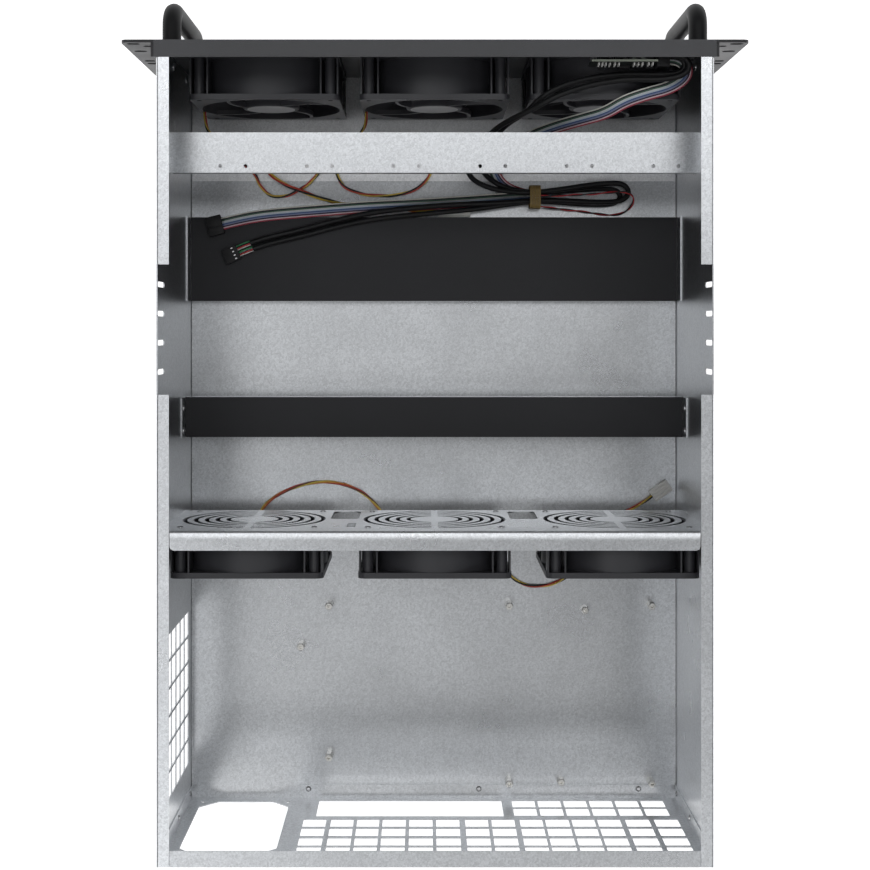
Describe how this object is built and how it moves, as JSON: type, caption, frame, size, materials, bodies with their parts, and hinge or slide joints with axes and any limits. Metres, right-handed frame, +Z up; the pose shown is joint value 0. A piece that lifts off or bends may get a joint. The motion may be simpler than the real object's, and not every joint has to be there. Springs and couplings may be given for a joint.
{
  "type": "rackmount server case",
  "caption": "Empty open-topped rackmount server case with two rows of cooling fans, a card support beam, front panel with handles, and loose internal wiring.",
  "frame": {"origin": "centre of the case floor's underside, midway across and along the body", "axes": "+X to the case's left as seen from behind the front panel, -Y towards the front panel, +Z up"},
  "size_m": [0.4826, 0.6702, 0.177],
  "materials": {
    "bare_steel": "satin",
    "plated_steel": "satin",
    "textured_black": "textured matt",
    "satin_black": "satin",
    "fan_black": "matt",
    "dark_sheet": "matt",
    "dark_board": "satin",
    "connector_metal": "bright",
    "black_plastic": "matt",
    "button_black": "satin",
    "clear_lens": "clear",
    "brass_hex": "satin",
    "black_cable": "matt",
    "ribbon_colours": "satin",
    "lead_colours": "satin",
    "white_nylon": "satin",
    "tie_brown": "matt"
  },
  "bodies": {
    "case": {"chassis_tray": "bare_steel", "rear_panel": "bare_steel", "front_panel": "textured_black", "card_beam": "bare_steel", "front_base_plate": "bare_steel", "front_riser_tray": "bare_steel", "front_riser_pad": "dark_sheet", "rear_riser_rail": "bare_steel", "rear_riser_pad": "dark_sheet", "fan_wall": "bare_steel", "control_board": "dark_board", "usb_ports": "connector_metal", "board_posts": "plated_steel", "switch_bodies": "black_plastic", "indicator_lenses": "clear_lens", "rear_panel_rivets": "plated_steel", "side_screws": "plated_steel", "left_rack_ear": "plated_steel", "right_rack_ear": "plated_steel", "left_handle": "satin_black", "right_handle": "satin_black", "front_fan_frame_left": "fan_black", "front_fan_frame_centre": "fan_black", "front_fan_frame_right": "fan_black", "middle_fan_frame_left": "fan_black", "middle_fan_frame_centre": "fan_black", "middle_fan_frame_right": "fan_black", "front_fan_screws": "plated_steel", "middle_fan_screws": "plated_steel", "board_standoffs": "brass_hex", "short_standoffs": "brass_hex", "usb_cable_upper": "black_cable", "usb_cable_lower": "black_cable", "ribbon_cable": "ribbon_colours", "front_fan_lead_left": "lead_colours", "front_fan_lead_centre": "lead_colours", "fan_power_lead": "lead_colours", "lamp_pair": "lead_colours", "middle_fan_lead_left": "lead_colours", "middle_fan_lead_centre": "lead_colours", "middle_fan_lead_right": "lead_colours", "usb_plug": "black_plastic", "ribbon_plug": "black_plastic", "fan_power_plug": "white_nylon", "middle_fan_plug": "white_nylon", "hidden_lead_plugs": "white_nylon", "cable_header": "black_plastic", "cable_tie": "tie_brown"},
    "front_fan_rotor_left": {"front_fan_rotor_left": "fan_black"},
    "front_fan_rotor_centre": {"front_fan_rotor_centre": "fan_black"},
    "front_fan_rotor_right": {"front_fan_rotor_right": "fan_black"},
    "middle_fan_rotor_left": {"middle_fan_rotor_left": "fan_black"},
    "middle_fan_rotor_centre": {"middle_fan_rotor_centre": "fan_black"},
    "middle_fan_rotor_right": {"middle_fan_rotor_right": "fan_black"},
    "power_button": {"power_button": "button_black"},
    "reset_button": {"reset_button": "button_black"}
  },
  "joints": [
    {"name": "front_fan_spin_left", "type": "hinge", "parent": "case", "child": "front_fan_rotor_left", "pos_m": [0.136, -0.3, 0.0715], "axis": [0, 1, 0], "continuous": true},
    {"name": "front_fan_spin_centre", "type": "hinge", "parent": "case", "child": "front_fan_rotor_centre", "pos_m": [0, -0.3, 0.0715], "axis": [0, 1, 0], "continuous": true},
    {"name": "front_fan_spin_right", "type": "hinge", "parent": "case", "child": "front_fan_rotor_right", "pos_m": [-0.136, -0.3, 0.0715], "axis": [0, 1, 0], "continuous": true},
    {"name": "middle_fan_spin_left", "type": "hinge", "parent": "case", "child": "middle_fan_rotor_left", "pos_m": [0.147, 0.08, 0.0975], "axis": [0, 1, 0], "continuous": true},
    {"name": "middle_fan_spin_centre", "type": "hinge", "parent": "case", "child": "middle_fan_rotor_centre", "pos_m": [0, 0.08, 0.0975], "axis": [0, 1, 0], "continuous": true},
    {"name": "middle_fan_spin_right", "type": "hinge", "parent": "case", "child": "middle_fan_rotor_right", "pos_m": [-0.147, 0.08, 0.0975], "axis": [0, 1, 0], "continuous": true},
    {"name": "power_press", "type": "slide", "parent": "case", "child": "power_button", "axis": [0, 1, 0], "range_m": [0, 0.0005], "stiffness_N_per_m": 300, "springref_m": -0.0015},
    {"name": "reset_press", "type": "slide", "parent": "case", "child": "reset_button", "axis": [0, 1, 0], "range_m": [0, 0.0005], "stiffness_N_per_m": 300, "springref_m": -0.0015}
  ]
}
